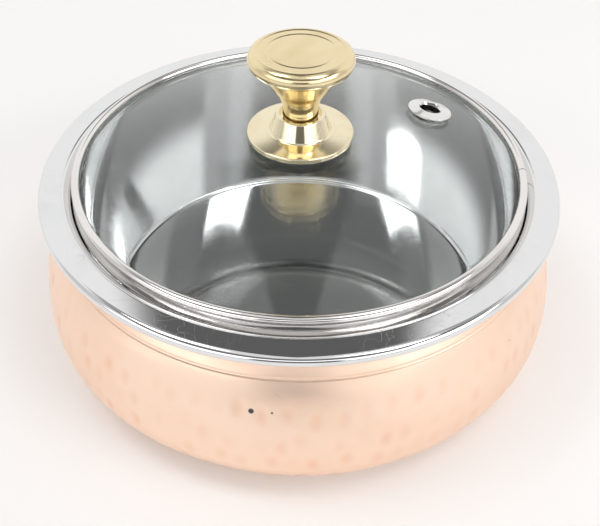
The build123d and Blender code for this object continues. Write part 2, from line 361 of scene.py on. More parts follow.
def make_hairlines():
    tree, given, result = new_group(
        "Hairline scratches",
        {"Vector": (ARROW, None), "Scale": (NUMBER, 40.0), "Width": (NUMBER, 0.006)},
        {"Mask": NUMBER},
    )
    total = 0.0
    for turn, stretch in zip(scratch_turns, scratch_stretches):
        turned = add(tree, "ShaderNodeMapping", {"Vector": given["Vector"], "Scale": stretch})
        turned.inputs["Rotation"].default_value = [math.radians(angle) for angle in turn]
        cells = noise(tree, {"Vector": turned.outputs[0], "Scale": given["Scale"], "Detail": 1.0})
        off = maths(tree, "ABSOLUTE", maths(tree, "SUBTRACT", cells, 0.5))
        line = ramp(tree, off, given["Width"], 0.0)
        place = {"Vector": given["Vector"], "Scale": scratch_gate_scale, "W": float(turn[0])}
        gate = ramp(tree, noise(tree, place, noise_dimensions="4D"), *scratch_gate)
        total = maths(tree, "MAXIMUM", total, times(tree, line, gate))
    join(tree, total, result["Mask"])
    return tree


def make_handling():
    tree, given, result = new_group(
        "Handling marks",
        {"Vector": (ARROW, None), "Scale": (NUMBER, 35.0)},
        {"Mask": NUMBER},
    )
    place = {"Vector": given["Vector"], "Scale": given["Scale"]}
    cloud = noise(tree, {**place, "Detail": 4.0, "Roughness": 0.6, "Distortion": 0.8})
    join(tree, ramp(tree, cloud, *cloud_edge), result["Mask"])
    return tree


polish_lines = make_polish_lines()
hairlines = make_hairlines()
handling = make_handling()
print("mark groups:", [group.name for group in (polish_lines, hairlines, handling)])

# %% [markdown]
# ## One recipe for the metals
#
# Copper, steel, brass and zinc differ in colour and polish, but their marks are of the same kinds. So one
# function builds a metal: the colour and roughness drift a little with the handling marks, and scratches
# and polish lines go into a bump. The bumps have real depths, a few thousandths of a millimetre, so the
# metal stays a mirror where it is polished.

# %% Metal recipe
scratch_dull = 0.12      # roughness that a scratch adds


def new_material(name):
    """A material with its node tree, its shader and the coordinates of its piece."""
    material = bpy.data.materials.new(name)
    material.use_nodes = True
    tree = material.node_tree
    coords = add(tree, "ShaderNodeTexCoord").outputs["Object"]
    return material, tree, tree.nodes["Principled BSDF"], coords


def placed(tree, group, coords, **values):
    """A mark group placed in a material with its own values."""
    node = add(tree, "ShaderNodeGroup", node_tree=group)
    join(tree, coords, node.inputs["Vector"])
    for name, value in values.items():
        node.inputs[name.replace("_", " ")].default_value = value
    return node.outputs[0]


def bumped(tree, height, depth, invert=False, under=None):
    """A normal from a height that stands for a depth in mm, over the normal of another bump."""
    node = add(tree, "ShaderNodeBump", {"Height": height, "Distance": depth * MM}, invert=invert)
    if under:
        join(tree, under, node.inputs["Normal"])
    return node.outputs[0]


def metal(name, colour, worn, roughness, dulled, lines_per_mm, line_depth, scratch_depth):
    """A polished metal. Depths are in mm, and dulled is the roughness that handling adds."""
    material, tree, shader, coords = new_material(name)
    smudge = placed(tree, handling, coords)
    scratch = placed(tree, hairlines, coords)
    rings = placed(tree, polish_lines, coords, Lines_per_mm=lines_per_mm)
    shader.inputs["Metallic"].default_value = 1.0
    join(tree, blended(tree, smudge, (*colour, 1), (*worn, 1)), shader.inputs["Base Color"])
    dull = plus(tree, roughness, times(tree, smudge, dulled))
    dull = plus(tree, dull, times(tree, scratch, scratch_dull))
    join(tree, dull, shader.inputs["Roughness"])
    grooves = bumped(tree, rings, line_depth)
    cuts = bumped(tree, scratch, scratch_depth, invert=True, under=grooves)
    join(tree, cuts, shader.inputs["Normal"])
    return material


print("metal recipe ready")

# %% [markdown]
# ## The pan's outline
#
# The pan is two spun sheets. The copper has a flat base, a tight round up to its widest part, a long slow
# curve in to the neck, and turns out a little under the lip. The steel is a plain bowl inside it that only
# meets the copper at floor and neck. These sizes are the solid model's own, in millimetres.

# %% Pan sizes
neck_r = 73.0
belly_bulge = 12.4
belly_rise = 35.5
foot_curve_r = 17.0
neck_cove_r = 5.0
shell_t = 0.7
liner_t = 0.8
shell_gap = 0.12
liner_corner_r = 2.0     # round between the liner's floor and its wall
wall_lean_deg = 11.0     # lean of the liner's wall at its foot
wall_bow_deg = 10.0      # how much it straightens up to the neck
shell_tuck_deg = 35.0
flare_deg = 50.0
lip_bend_r = 2.0
lip_w = 5.15
rim_roll_r = 1.8
rim_roll_deg = 250.0

liner_depth = shell_t + shell_gap + liner_t
belly_r = neck_r + belly_bulge
base_r = belly_r - foot_curve_r
shoulder_deg = 2 * math.degrees(math.atan(belly_bulge / belly_rise))
belly_curve_r = belly_rise / math.sin(math.radians(shoulder_deg)) - neck_cove_r
neck_z = foot_curve_r + belly_rise
body_moves = [
    ("run", base_r),
    ("left", foot_curve_r, 90),
    ("left", belly_curve_r, shoulder_deg),
]
print(f"belly {2 * belly_r:.1f} mm wide, neck at {neck_z:.1f} mm, shoulder bend {shoulder_deg:.1f} degrees")

# %% [markdown]
# ## Copper finish
#
# The copper is brushed and lacquered rather than mirror polished, so it glows softly and shows a pale
# peach. Inside each hammer mark the colour is painted deeper and rosier, as painted shade in the hollow.
# The geometry tree further down writes how deep each point lies in a mark as an attribute called dent,
# and the material reads it. Two pits and two long scratches are listed where the real pan has them. A
# recipe of its own is used, because no other metal here is hammered.

# %% Copper material
copper_pale = (0.985, 0.750, 0.600)
# The rosy copper is painted shade inside the hammer marks, and also the colour of the long scratches.
rosy_shade_and_scratch = (0.905, 0.580, 0.420)
copper_dull = (0.965, 0.705, 0.550)
pit_dark = (0.10, 0.085, 0.09)
dull_share, dent_shade_share = 0.6, 0.55       # how far handling and hammer marks take the colour
brushed_rough = 0.36
handled_rough, dented_rough = 0.10, 0.06     # roughness that they add
brush_depth = 0.004                      # depths in mm
hairline_depth = 0.010
pit_depth = 4.0                          # of pits and long scratches, in hairlines
pits = (((-11.78, -80.97, 35.91), 0.95), ((-6.18, -81.56, 35.98), 0.4))     # place and reach, mm
pit_core = 0.6                           # share of the reach that is fully dark
nicks = (                                # ends of the long scratches, mm
    ((-5.68, -79.11, 41.38), (2.04, -81.41, 36.88)),
    ((60.5, -55.4, 36.9), (63.9, -51.7, 33.4)),
)
nick_w = 0.35
nick_full, nick_fades = 0.1, 0.7         # shares of its length where a scratch is full, and starts to fade


def pit_mask(tree, coords):
    """1 in the pits and 0 elsewhere."""
    mask = 0.0
    for spot, reach in pits:
        off = vectors(tree, "DISTANCE", coords, Vector(spot) * MM, out=1)
        mask = maths(tree, "MAXIMUM", mask, ramp(tree, off, reach * MM, pit_core * reach * MM))
    return mask


def nick_mask(tree, coords):
    """1 along the long scratches and 0 elsewhere."""
    mask = 0.0
    for start, end in nicks:
        way = (Vector(end) - Vector(start)) * MM
        arm = vectors(tree, "SUBTRACT", coords, Vector(start) * MM)
        share = vectors(tree, "DOT_PRODUCT", arm, way / way.length_squared, out=1)
        off = vectors(tree, "LENGTH", vectors(tree, "CROSS_PRODUCT", arm, way.normalized()), out=1)
        line = times(tree, ramp(tree, share, 0.0, nick_full), ramp(tree, share, 1.0, nick_fades))
        line = times(tree, line, ramp(tree, off, nick_w * MM, 0.0))
        mask = maths(tree, "MAXIMUM", mask, line)
    return mask


def make_copper():
    material, tree, shader, coords = new_material("Hammered copper")
    dent = add(tree, "ShaderNodeAttribute", attribute_name="dent").outputs["Fac"]
    smudge = placed(tree, handling, coords, Scale=28.0)
    scratch = placed(tree, hairlines, coords, Scale=30.0)
    rings = placed(tree, polish_lines, coords, Lines_per_mm=3.0, Wander=1.0)
    pit, nick = pit_mask(tree, coords), nick_mask(tree, coords)
    colour = blended(tree, times(tree, smudge, dull_share), (*copper_pale, 1), (*copper_dull, 1))
    # Painted shade: each hammer mark is painted rosier and darker by how deep it is.
    colour = blended(tree, times(tree, dent, dent_shade_share), colour, (*rosy_shade_and_scratch, 1))
    colour = blended(tree, nick, colour, (*rosy_shade_and_scratch, 1))
    colour = blended(tree, pit, colour, (*pit_dark, 1))
    shader.inputs["Metallic"].default_value = 1.0
    join(tree, colour, shader.inputs["Base Color"])
    rough = plus(tree, brushed_rough, times(tree, smudge, handled_rough))
    rough = plus(tree, rough, times(tree, dent, dented_rough))
    join(tree, rough, shader.inputs["Roughness"])
    deep = maths(tree, "MAXIMUM", scratch, times(tree, plus(tree, pit, nick), pit_depth))
    brushed = bumped(tree, rings, brush_depth)
    cuts = bumped(tree, deep, hairline_depth, invert=True, under=brushed)
    join(tree, cuts, shader.inputs["Normal"])
    return material


copper = make_copper()
print("material:", copper.name)

# %% [markdown]
# ## The copper shell before hammering
#
# The smooth shell comes first: the spun sheet with one turned line on its shoulder. Its outside needs a
# fine grid, because the hammer marks are only a few millimetres wide, while its hidden inside can be
# coarse. An attribute, hammer_room, says how freely each point may be hammered: fully on the belly, and
# not at all on the base, the inside or the smooth neck above the turned line.

# %% Smooth copper shell
line_drop = 7.8
line_r = 0.9
line_depth = 0.25
shell_turns = 600
shell_step = 0.9         # step along the outside, mm
inside_step = 4.8        # and along the inside
line_step = 0.15         # step near the turned line, mm
line_reach = 1.5         # how far that finer stretch goes each way, mm
line_slope = math.asin((belly_rise - line_drop) / belly_curve_r)
line_z = neck_z - line_drop
bare_foot_z, full_foot_z = 1.5, 8.0      # hammering starts between these heights
bare_line, full_line = 1.0, 4.0          # and ends between these distances under the line


def with_turned_line(points):
    """The outline with the tool's round cut where the line runs."""
    middle = Vector((belly_r - belly_curve_r, foot_curve_r))
    lined = []
    for point in points:
        arm = Vector(point) - middle
        off = belly_curve_r * (math.atan2(arm.y, arm.x) - line_slope)
        deep = line_depth - line_r + math.sqrt(max(line_r**2 - off**2, 0))
        lined.append(tuple(Vector(point) - arm.normalized() * max(deep, 0)))
    return lined


def eased(value, start, end):
    """From 0 at start to 1 at end, with soft ends."""
    share = min(max((value - start) / (end - start), 0), 1)
    return share * share * (3 - 2 * share)


def hammer_room(z):
    """How freely the outside may be hammered at that height."""
    return eased(z, bare_foot_z, full_foot_z) * eased(line_z - z, bare_line, full_line)


def make_smooth_shell():
    tuck = ("right", neck_cove_r, shoulder_deg + shell_tuck_deg)
    line_deg, reach_deg = math.degrees(line_slope), math.degrees(line_reach / belly_curve_r)
    belly = [
        ("left", belly_curve_r, line_deg - reach_deg),
        ("left", belly_curve_r, 2 * reach_deg, line_step),
        ("left", belly_curve_r, shoulder_deg - line_deg - reach_deg),
    ]
    outside = with_turned_line(sheet_face((0, 0), body_moves[:2] + belly + [tuck], 0, shell_step))
    inside = sheet_face((0, 0), body_moves + [tuck], shell_t, inside_step)[::-1]
    mesh = swept("smooth_shell", outside + inside, shell_turns)
    faces_out = [vertex.normal.xy.dot(vertex.co.xy) > 0 for vertex in mesh.vertices]
    values = [hammer_room(vertex.co.z / MM) * out for vertex, out in zip(mesh.vertices, faces_out)]
    mesh.attributes.new("hammer_room", "FLOAT", "POINT").data.foreach_set("value", values)
    return mesh


smooth_shell = make_smooth_shell()
print(f"smooth shell: {len(smooth_shell.vertices)} points, turned line at {line_z:.1f} mm")

# %% [markdown]
# ## Hammering the shell with Geometry Nodes
#
# A coppersmith goes round the pan row by row with a cross-faced hammer, and each blow leaves a small
# upright oval. That is a rule, so a Geometry Nodes tree makes it. It lays out rows of points with a little
# scatter, snaps them to the shell, and then every point of the shell looks up its nearest blow and sinks
# by a soft bowl. A slow noise adds the gentle unevenness of handwork. The tree also stores the dent
# attribute for the material. Bump mapping would be cheaper, but the marks have to show in the silhouette.

# %% Hammering tree
WHOLE, SHAPE = "NodeSocketInt", "NodeSocketGeometry"
soft_blow, full_blow = 0.1, 1.0      # force of the softest and the hardest blow
uneven_scale = 28.0                  # hollows and rises per metre in the uneven sheet


def scatter_value(tree, low, high, seed):
    """A random number for each blow."""
    node = add(tree, "FunctionNodeRandomValue", {"Seed": seed}, data_type="FLOAT")
    join(tree, low, node.inputs[2])
    join(tree, high, node.inputs[3])
    return node.outputs[1]


def blow_points(tree, given):
    """Points of all blows, row by row, snapped to the shell."""
    per_row, radius, seed = given["Blows in a row"], given["Belly radius"], given["Seed"]
    index = add(tree, "GeometryNodeInputIndex").outputs[0]
    row = maths(tree, "FLOOR", maths(tree, "DIVIDE", index, per_row))
    stagger = times(tree, maths(tree, "MODULO", row, 2.0), 0.5)
    column = plus(tree, maths(tree, "MODULO", index, per_row), stagger)
    back = times(tree, given["Scatter"], -1.0)
    sideways = scatter_value(tree, back, given["Scatter"], seed)
    up = scatter_value(tree, back, given["Scatter"], plus(tree, seed, 1.0))
    turn = times(tree, maths(tree, "DIVIDE", column, per_row), math.tau)
    turn = plus(tree, turn, maths(tree, "DIVIDE", sideways, radius))
    height = maths(tree, "MULTIPLY_ADD", row, given["Row spacing"], given["Lowest row"])
    x = times(tree, maths(tree, "COSINE", turn), radius)
    y = times(tree, maths(tree, "SINE", turn), radius)
    spot = add(tree, "ShaderNodeCombineXYZ", {"X": x, "Y": y, "Z": plus(tree, height, up)}).outputs[0]
    count = times(tree, given["Rows"], per_row)
    points = add(tree, "GeometryNodePoints", {"Count": count, "Position": spot}).outputs[0]
    snap = add(tree, "GeometryNodeProximity", target_element="FACES")
    join(tree, given["Shell"], snap.inputs[0])
    place = {"Geometry": points, "Position": snap.outputs["Position"]}
    return add(tree, "GeometryNodeSetPosition", place).outputs[0]


def looked_up(tree, points, value, index, kind):
    """The value that the nearest blow has."""
    node = add(tree, "GeometryNodeSampleIndex", data_type=kind)
    for socket, given in zip(node.inputs, (points, value, index)):
        join(tree, given, socket)
    return node.outputs[0]


def blow_bowl(tree, given, here):
    """How far a point is sunk by its nearest blow: the force in its middle, 0 outside its oval."""
    points = blow_points(tree, given)
    nearest = add(tree, "GeometryNodeSampleNearest", {"Geometry": points}).outputs[0]
    middle = looked_up(tree, points, here, nearest, "FLOAT_VECTOR")
    force = scatter_value(tree, soft_blow, full_blow, plus(tree, given["Seed"], 2.0))
    force = looked_up(tree, points, force, nearest, "FLOAT")
    arm = vectors(tree, "SUBTRACT", here, middle)
    around = vectors(tree, "NORMALIZE", vectors(tree, "CROSS_PRODUCT", (0, 0, 1), here))
    across = vectors(tree, "DOT_PRODUCT", arm, around, out=1)
    whole_2 = vectors(tree, "DOT_PRODUCT", arm, arm, out=1)
    across_2 = times(tree, across, across)
    along_2 = maths(tree, "SUBTRACT", whole_2, across_2)
    width_2 = times(tree, given["Half width"], given["Half width"])
    length_2 = times(tree, given["Half length"], given["Half length"])
    across_share = maths(tree, "DIVIDE", across_2, width_2)
    along_share = maths(tree, "DIVIDE", along_2, length_2)
    inside = maths(tree, "SUBTRACT", 1.0, plus(tree, across_share, along_share))
    bowl = maths(tree, "MAXIMUM", inside, 0.0)
    return times(tree, times(tree, bowl, bowl), force)


def make_hammering():
    sizes = ("Belly radius", "Lowest row", "Row spacing", "Scatter", "Half width", "Half length", "Depth")
    tree, given, result = new_group(
        "Hammer blows",
        {
            "Shell": (SHAPE, None),
            "Rows": (WHOLE, 4),
            "Blows in a row": (WHOLE, 70),
            "Seed": (WHOLE, 1),
            **{size: (NUMBER, MM) for size in sizes},
            "Unevenness": (NUMBER, 0.0),
            "Finish": ("NodeSocketMaterial", None),
        },
        {"Shell": SHAPE},
        kind="GeometryNodeTree",
    )
    here = add(tree, "GeometryNodeInputPosition").outputs[0]
    room = add(tree, "GeometryNodeInputNamedAttribute", {"Name": "hammer_room"}, data_type="FLOAT")
    dent = times(tree, blow_bowl(tree, given, here), room.outputs[0])
    stored = add(
        tree,
        "GeometryNodeStoreNamedAttribute",
        {"Geometry": given["Shell"], "Name": "dent", "Value": dent},
        data_type="FLOAT",
        domain="POINT",
    )
    uneven = noise(tree, {"Vector": here, "Scale": uneven_scale, "Detail": 1.0})
    uneven = times(tree, maths(tree, "SUBTRACT", uneven, 0.5), given["Unevenness"])
    sunk = times(tree, dent, given["Depth"])
    push = maths(tree, "SUBTRACT", times(tree, uneven, room.outputs[0]), sunk)
    normal = add(tree, "GeometryNodeInputNormal").outputs[0]
    offset = add(tree, "ShaderNodeVectorMath", {"Vector": normal, "Scale": push}, operation="SCALE")
    place = {"Geometry": stored.outputs[0], "Offset": offset.outputs[0]}
    moved = add(tree, "GeometryNodeSetPosition", place).outputs[0]
    whole = add(tree, "GeometryNodeRealizeInstances", {"Geometry": moved}).outputs[0]
    dressed = add(tree, "GeometryNodeSetMaterial", {"Geometry": whole, "Material": given["Finish"]})
    join(tree, dressed.outputs[0], result["Shell"])
    return tree


hammering = make_hammering()
print("hammering tree:", len(hammering.nodes), "nodes")

# %% [markdown]
# ## Running the tree
#
# The tree's inputs are set by their identifiers before the shell is first evaluated. The result becomes a
# plain mesh, and the working object goes away. Four rows of blows fit between the foot and the turned
# line. The seed is fixed, so every run strikes the same blows.

# %% Hammer the shell
blows = {
    "Rows": 4,
    "Blows in a row": 74,
    "Seed": 7,
    "Belly radius": belly_r * MM,
    "Lowest row": 7.6 * MM,
    "Row spacing": 9.4 * MM,
    "Scatter": 2.2 * MM,
    "Half width": 2.7 * MM,
    "Half length": 4.2 * MM,
    "Depth": 0.24 * MM,
    "Unevenness": 0.8 * MM,
    "Finish": copper,
}


def run_tree(name, mesh, tree, values):
    """The mesh after a geometry tree with those input values, as a plain mesh."""
    work = in_scene(name, mesh)
    modifier = work.modifiers.new("Tree", "NODES")
    modifier.node_group = tree
    for item in tree.interface.items_tree:
        if item.in_out == "INPUT" and item.name in values:
            modifier[item.identifier] = values[item.name]
    made = solid_copy(work)
    work.modifiers.remove(modifier)
    bpy.data.objects.remove(work)
    made.name = name
    return made


hammered = run_tree("hammered_copper_shell", smooth_shell, hammering, blows)
hand_over(hammered, copper, "copper_shell")

# %% [markdown]
# ## The steel liner
#
# The liner is one spun sheet, mirror polished: a flat floor, a nearly straight wall, a flare, a flat lip
# and a rolled edge. It shows inside through the glass and outside as the lip. The wall is one slow curve,
# so its radius is worked out from the height that it has to climb between its two leans.

# %% Steel liner
steel = metal(
    "Polished steel",
    colour=(0.79, 0.795, 0.80),
    worn=(0.75, 0.755, 0.76),
    roughness=0.06,
    dulled=0.05,
    lines_per_mm=1.2,
    line_depth=0.0005,
    scratch_depth=0.002,
)
neck_in_r = neck_r - liner_depth
flare_in_r = neck_cove_r + liner_depth
lean_foot = math.radians(wall_lean_deg)
lean_top = math.radians(wall_lean_deg - wall_bow_deg)
wall_top_r = neck_in_r + flare_in_r * (1 - math.cos(lean_top))
wall_top_z = neck_z - shell_gap + flare_in_r * math.sin(lean_top)
wall_rise = wall_top_z - shell_t - liner_t - liner_corner_r * (1 - math.sin(lean_foot))
wall_curve_r = wall_rise / (math.sin(lean_foot) - math.sin(lean_top))
wall_reach = wall_curve_r * (math.cos(lean_top) - math.cos(lean_foot))
liner_moves = [
    ("run", wall_top_r - wall_reach - liner_corner_r * math.cos(lean_foot)),
    ("left", liner_corner_r + liner_t, 90 - wall_lean_deg),
    ("left", wall_curve_r + liner_t, wall_bow_deg),
    ("right", flare_in_r - liner_t, flare_deg - wall_lean_deg + wall_bow_deg),
    ("right", lip_bend_r - liner_t, 90 - flare_deg),
    ("run", lip_w),
    ("right", rim_roll_r - liner_t, rim_roll_deg),
]
liner_outline = bent_sheet((0, shell_t), liner_moves, 0, liner_t)
hand_over(swept("polished_steel_liner", liner_outline, FINE_TURNS), steel, "steel_liner")

# %% [markdown]
# ## The lid's outline
#
# The lid's band stands with its round foot in the liner's flare, and the glass stands on a bedding in the
# band. So the sizes run one way: the neck gives the band, the band gives the edge of the glass, and the
# rise of the glass gives its dome. Working them out in that order keeps the pieces together.

# %% Lid sizes
seat_overlap = 0.6
seat_gap = 0.2
band_t = 0.5
band_foot_r = 0.9
band_lean_deg = 12.0
glass_t = 3.5
glass_rise = 9.5
glass_edge_clear = 0.5
seal_t = 0.5

band_out_r = neck_in_r + seat_overlap
foot_mid_r = band_out_r - band_foot_r
flare_mid_r = neck_in_r + flare_in_r
foot_to_flare = flare_in_r + band_foot_r + seat_gap
foot_mid_z = neck_z - shell_gap + math.sqrt(foot_to_flare**2 - (flare_mid_r - foot_mid_r) ** 2)
band_low_z = foot_mid_z - band_foot_r
lean = math.radians(band_lean_deg)
wall_in_r = foot_mid_r + (band_foot_r - band_t) * math.cos(lean)
glass_r = wall_in_r - math.sin(lean) * (glass_t + seal_t) - glass_edge_clear
dome_r = (glass_r**2 + glass_rise**2) / (2 * glass_rise)
dome_in_r = dome_r - glass_t


def sag(radius, of_dome):
    """Drop of a dome from its crown at that radius."""
    return of_dome - math.sqrt(of_dome**2 - radius**2)


crown_z = band_low_z + band_t + seal_t + glass_t + sag(glass_r, dome_in_r)
crown_in_z = crown_z - glass_t
dome_mid_z = crown_z - dome_r
print(f"glass {2 * glass_r:.1f} mm wide, crown at {crown_z:.1f} mm")

# %% [markdown]
# ## The lid's steel band
#
# A thin strip is rolled round the glass, with a flat under it, a leaning wall and a bead that closes on
# top. Its ends meet in a butt joint on the right, which shows as a fine dark line. The wall runs up until
# the bead's edge meets the dome, so its length is worked out from the bends and the dome.

# %% Rim band
band_groove_r = 0.6
band_groove_deg = 25.0
band_bead_r = 1.3
bead_clear = 0.03        # from the bead's edge to the glass
band_lap = 2.2
band_seam = 0.3
band_seam_deg = -4.0


def band_wall():
    """Length of the leaning wall, up to where the bead's edge meets the glass."""
    groove = math.radians(band_groove_deg)
    rise = band_foot_r * (1 + math.sin(lean)) + band_bead_r * math.sin(groove)
    rise += band_groove_r * (math.sin(groove) + math.sin(lean))
    reach = band_foot_r * math.cos(lean) - band_bead_r * (1 + math.cos(groove))
    reach += band_groove_r * (math.cos(lean) - math.cos(groove))
    edge_r = foot_mid_r + reach
    edge_z = band_low_z + rise - dome_mid_z
    along = edge_r * math.sin(lean) - edge_z * math.cos(lean)
    return along + math.sqrt(along**2 + (dome_r + bead_clear) ** 2 - edge_r**2 - edge_z**2)


band_moves = [
    ("run", band_lap),
    ("left", band_foot_r, 90 + band_lean_deg),
    ("run", band_wall()),
    ("right", band_groove_r, band_lean_deg + band_groove_deg),
    ("left", band_bead_r, 180 + band_groove_deg),
]
band_steel = metal(
    "Band steel",
    colour=(0.82, 0.80, 0.78),
    worn=(0.76, 0.74, 0.72),
    roughness=0.06,
    dulled=0.06,
    lines_per_mm=1.5,
    line_depth=0.001,
    scratch_depth=0.003,
)
band_outline = bent_sheet((foot_mid_r - band_lap, band_low_z), band_moves, 0, band_t)
seam = band_seam / band_out_r
band_mesh = swept("lid_rim_band", band_outline, FINE_TURNS, slit=seam, slit_deg=band_seam_deg)
hand_over(band_mesh, band_steel, "rim_band")

# %% [markdown]
# ## The glass dome
#
# The lid is a flat disc that sagged over a mould, so its two faces are nearly parallel domes with a ground
# edge. Two holes are drilled: one for the knob's screw, which is part of the outline, and one for the
# vent, which stands square on the dome and is cut with a Boolean. Clear soda glass looks faintly green
# where the light runs a long way through it, so an absorbing volume gives the tint, not the surface.

# %% Glass material
clean_tint, smeared_tint = (0.985, 0.995, 0.99), (0.97, 0.985, 0.98)
smeared_rough = 0.012
glass_scratch_depth = 0.002              # mm
glass_green = (0.62, 0.86, 0.76)
glass_density = 9.0                      # how fast the green builds up, per metre


def make_glass():
    material, tree, shader, coords = new_material("Lid glass")
    shader.inputs["Transmission Weight"].default_value = 1.0
    shader.inputs["IOR"].default_value = 1.5
    smear = placed(tree, handling, coords, Scale=22.0)
    join(tree, times(tree, smear, smeared_rough), shader.inputs["Roughness"])
    tone = blended(tree, smear, (*clean_tint, 1), (*smeared_tint, 1))
    join(tree, tone, shader.inputs["Base Color"])
    scratch = placed(tree, hairlines, coords, Scale=25.0)
    cuts = bumped(tree, scratch, glass_scratch_depth, invert=True)
    join(tree, cuts, shader.inputs["Normal"])
    tint = {"Color": (*glass_green, 1), "Density": glass_density}
    body = add(tree, "ShaderNodeVolumeAbsorption", tint).outputs[0]
    join(tree, body, tree.nodes["Material Output"].inputs["Volume"])
    return material


glass = make_glass()
print("material:", glass.name)

# %% [markdown]
# ## Cutting the dome
#
# The vent's place is worked out on the dome first, because the hole, the eyelet and the washer all stand
# on it. A cutter is swept like any other piece, used once and removed.

# %% Glass dome
glass_edge_round = 0.8
screw_r = 2.5
thread_clear = 0.1
sleeve_w = 0.95          # of the gasket's sleeve round the screw
sleeve_clear = 0.15      # from that sleeve to the glass
shank_hole_r = screw_r + thread_clear
knob_hole_r = shank_hole_r + sleeve_w + sleeve_clear
vent_inset = 21.14
vent_place_deg = 27.8
vent_r = 3.4
vent_wall = 0.5
vent_tube_r = vent_r + vent_wall
vent_hole_clear = 0.5
vent_place_r = glass_r - vent_inset
vent_tilt = math.asin(vent_place_r / dome_r)
vent_place = (
    Matrix.Rotation(math.radians(vent_place_deg), 4, "Z")
    @ Matrix.Translation((vent_place_r, 0, dome_mid_z + dome_r * math.cos(vent_tilt)))
    @ Matrix.Rotation(vent_tilt, 4, "Y")
)


def dome_points(of_dome, first_r, last_r, steps=48):
    """Points on a dome between two radii."""
    radii = [first_r + (last_r - first_r) * step / steps for step in range(steps + 1)]
    return [(r, dome_mid_z + math.sqrt(of_dome**2 - r**2)) for r in radii]


def dome_outline():
    ground = glass_edge_round
    top = dome_points(dome_r, knob_hole_r, glass_r - ground)
    under = dome_points(dome_in_r, glass_r - ground, knob_hole_r)
    edge_top, edge_low = top[-1][1], under[0][1]
    edge = [
        *bend_points((glass_r - ground, edge_top - ground), ground, math.pi / 2, -math.pi / 2),
        *bend_points((glass_r - ground, edge_low + ground), ground, 0, -math.pi / 2),
    ]
    return [*top, *edge, *under[1:]]


def cut(mesh, *cutters):
    """The mesh with each cutter mesh taken away from it."""
    work = in_scene(mesh.name, mesh)
    tools = []
    for cutter in cutters:
        tool = in_scene("cutter", cutter)
        modifier = work.modifiers.new("Cut", "BOOLEAN")
        modifier.object = tool
        modifier.solver = "EXACT"
        tools.append(tool)
    made = solid_copy(work)
    made.name = mesh.name + "_cut"
    for spent in (work, *tools):
        bpy.data.objects.remove(spent)
    made.set_sharp_from_angle(angle=SHARP)
    return made


drill_r = vent_tube_r + vent_hole_clear
drill_reach = 3 * glass_t
drill_turns = 96
drill = [(0, -drill_reach), (drill_r, -drill_reach), (drill_r, drill_reach), (0, drill_reach)]
dome = cut(swept("glass_dome", dome_outline()), swept("drill", drill, drill_turns, vent_place))
hand_over(dome, glass, "lid_glass")

# %% [markdown]
# ## Silicone, and the bedding in the band
#
# Soft pale silicone keeps steel and brass off the glass: a bedding ring in the band, and two gaskets at
# the knob. It is slightly see-through at thin edges, which a little subsurface scattering gives. Its
# surface is matt with a fine moulded grain. The bedding is flat below and follows the dome above.

# %% Silicone and bedding
silicone_pale, silicone_grey = (0.72, 0.74, 0.72), (0.62, 0.64, 0.62)
silicone_rough = (0.42, 0.58)
silicone_scatter = 0.5           # how far light spreads in it, mm
grain_scale, grain_depth = 3000.0, 0.01      # grains per metre, and depth in mm


def make_silicone():
    material, tree, shader, coords = new_material("Pale silicone")
    cloud = placed(tree, handling, coords, Scale=90.0)
    colour = blended(tree, cloud, (*silicone_pale, 1), (*silicone_grey, 1))
    join(tree, colour, shader.inputs["Base Color"])
    join(tree, ramp(tree, cloud, 0.0, 1.0, *silicone_rough), shader.inputs["Roughness"])
    shader.inputs["Subsurface Weight"].default_value = 0.3
    shader.inputs["Subsurface Scale"].default_value = silicone_scatter * MM
    grain = noise(tree, {"Vector": coords, "Scale": grain_scale, "Detail": 2.0})
    join(tree, bumped(tree, grain, grain_depth), shader.inputs["Normal"])
    return material


silicone = make_silicone()
seal_bed = 0.03          # skin between silicone and glass, so that they only touch
seal_steps, gasket_steps = 6, 12     # steps along the dome
seal_in_r = foot_mid_r - band_lap
seal_low_z = band_low_z + band_t
seal_outline = [
    *dome_points(dome_in_r - seal_bed, foot_mid_r, seal_in_r, seal_steps),
    (seal_in_r, seal_low_z),
    (foot_mid_r, seal_low_z),
]
hand_over(swept("band_bedding", seal_outline), silicone, "band_seal")

# %% [markdown]
# ## The knob's gaskets
#
# The upper gasket is a flat ring on top and follows the dome below. It stops short of the rosette's edge,
# so that it doesn't show, and the rosette's radii come first for that reason. The lower gasket has a flat
# collar that the washer presses, and a sleeve that lines the hole in the glass.

# %% Knob gaskets
stem_foot_r = 5.55
stem_clear = 1.05
bell_lip_w = 0.8
bell_spread = 2.4
rosette_w = 6.7
gasket_upper_inset = 1.6
gasket_upper_t = 0.8
seat_r = stem_foot_r + stem_clear
bell_lip_r = seat_r + bell_lip_w
bell_foot_r = bell_lip_r + bell_spread
rosette_r = bell_foot_r + rosette_w
rosette_z = crown_z + gasket_upper_t
gasket_upper_r = rosette_r - gasket_upper_inset
upper_outline = [
    *dome_points(dome_r + seal_bed, shank_hole_r, gasket_upper_r, gasket_steps),
    (gasket_upper_r, rosette_z),
    (shank_hole_r, rosette_z),
]
hand_over(swept("rosette_gasket", upper_outline), silicone, "knob_gasket_upper")

sleeve_h = 2.4
gasket_lower_w = 4.9
gasket_lower_t = 1.2
gasket_lower_r = shank_hole_r + gasket_lower_w
gasket_top_z = crown_in_z - sag(gasket_lower_r, dome_in_r)
washer_top_z = gasket_top_z - gasket_lower_t
soft_edge = 0.25
lower_outline = rounded([
    (shank_hole_r, washer_top_z, 0),
    (gasket_lower_r, washer_top_z, soft_edge),
    (gasket_lower_r, gasket_top_z, soft_edge),
    (shank_hole_r + sleeve_w, gasket_top_z, 0),
    (shank_hole_r + sleeve_w, gasket_top_z + sleeve_h, 0),
    (shank_hole_r, gasket_top_z + sleeve_h, 0),
])
sleeve_mesh = swept("sleeve_gasket", lower_outline, SMALL_TURNS)
hand_over(sleeve_mesh, silicone, "knob_gasket_lower")

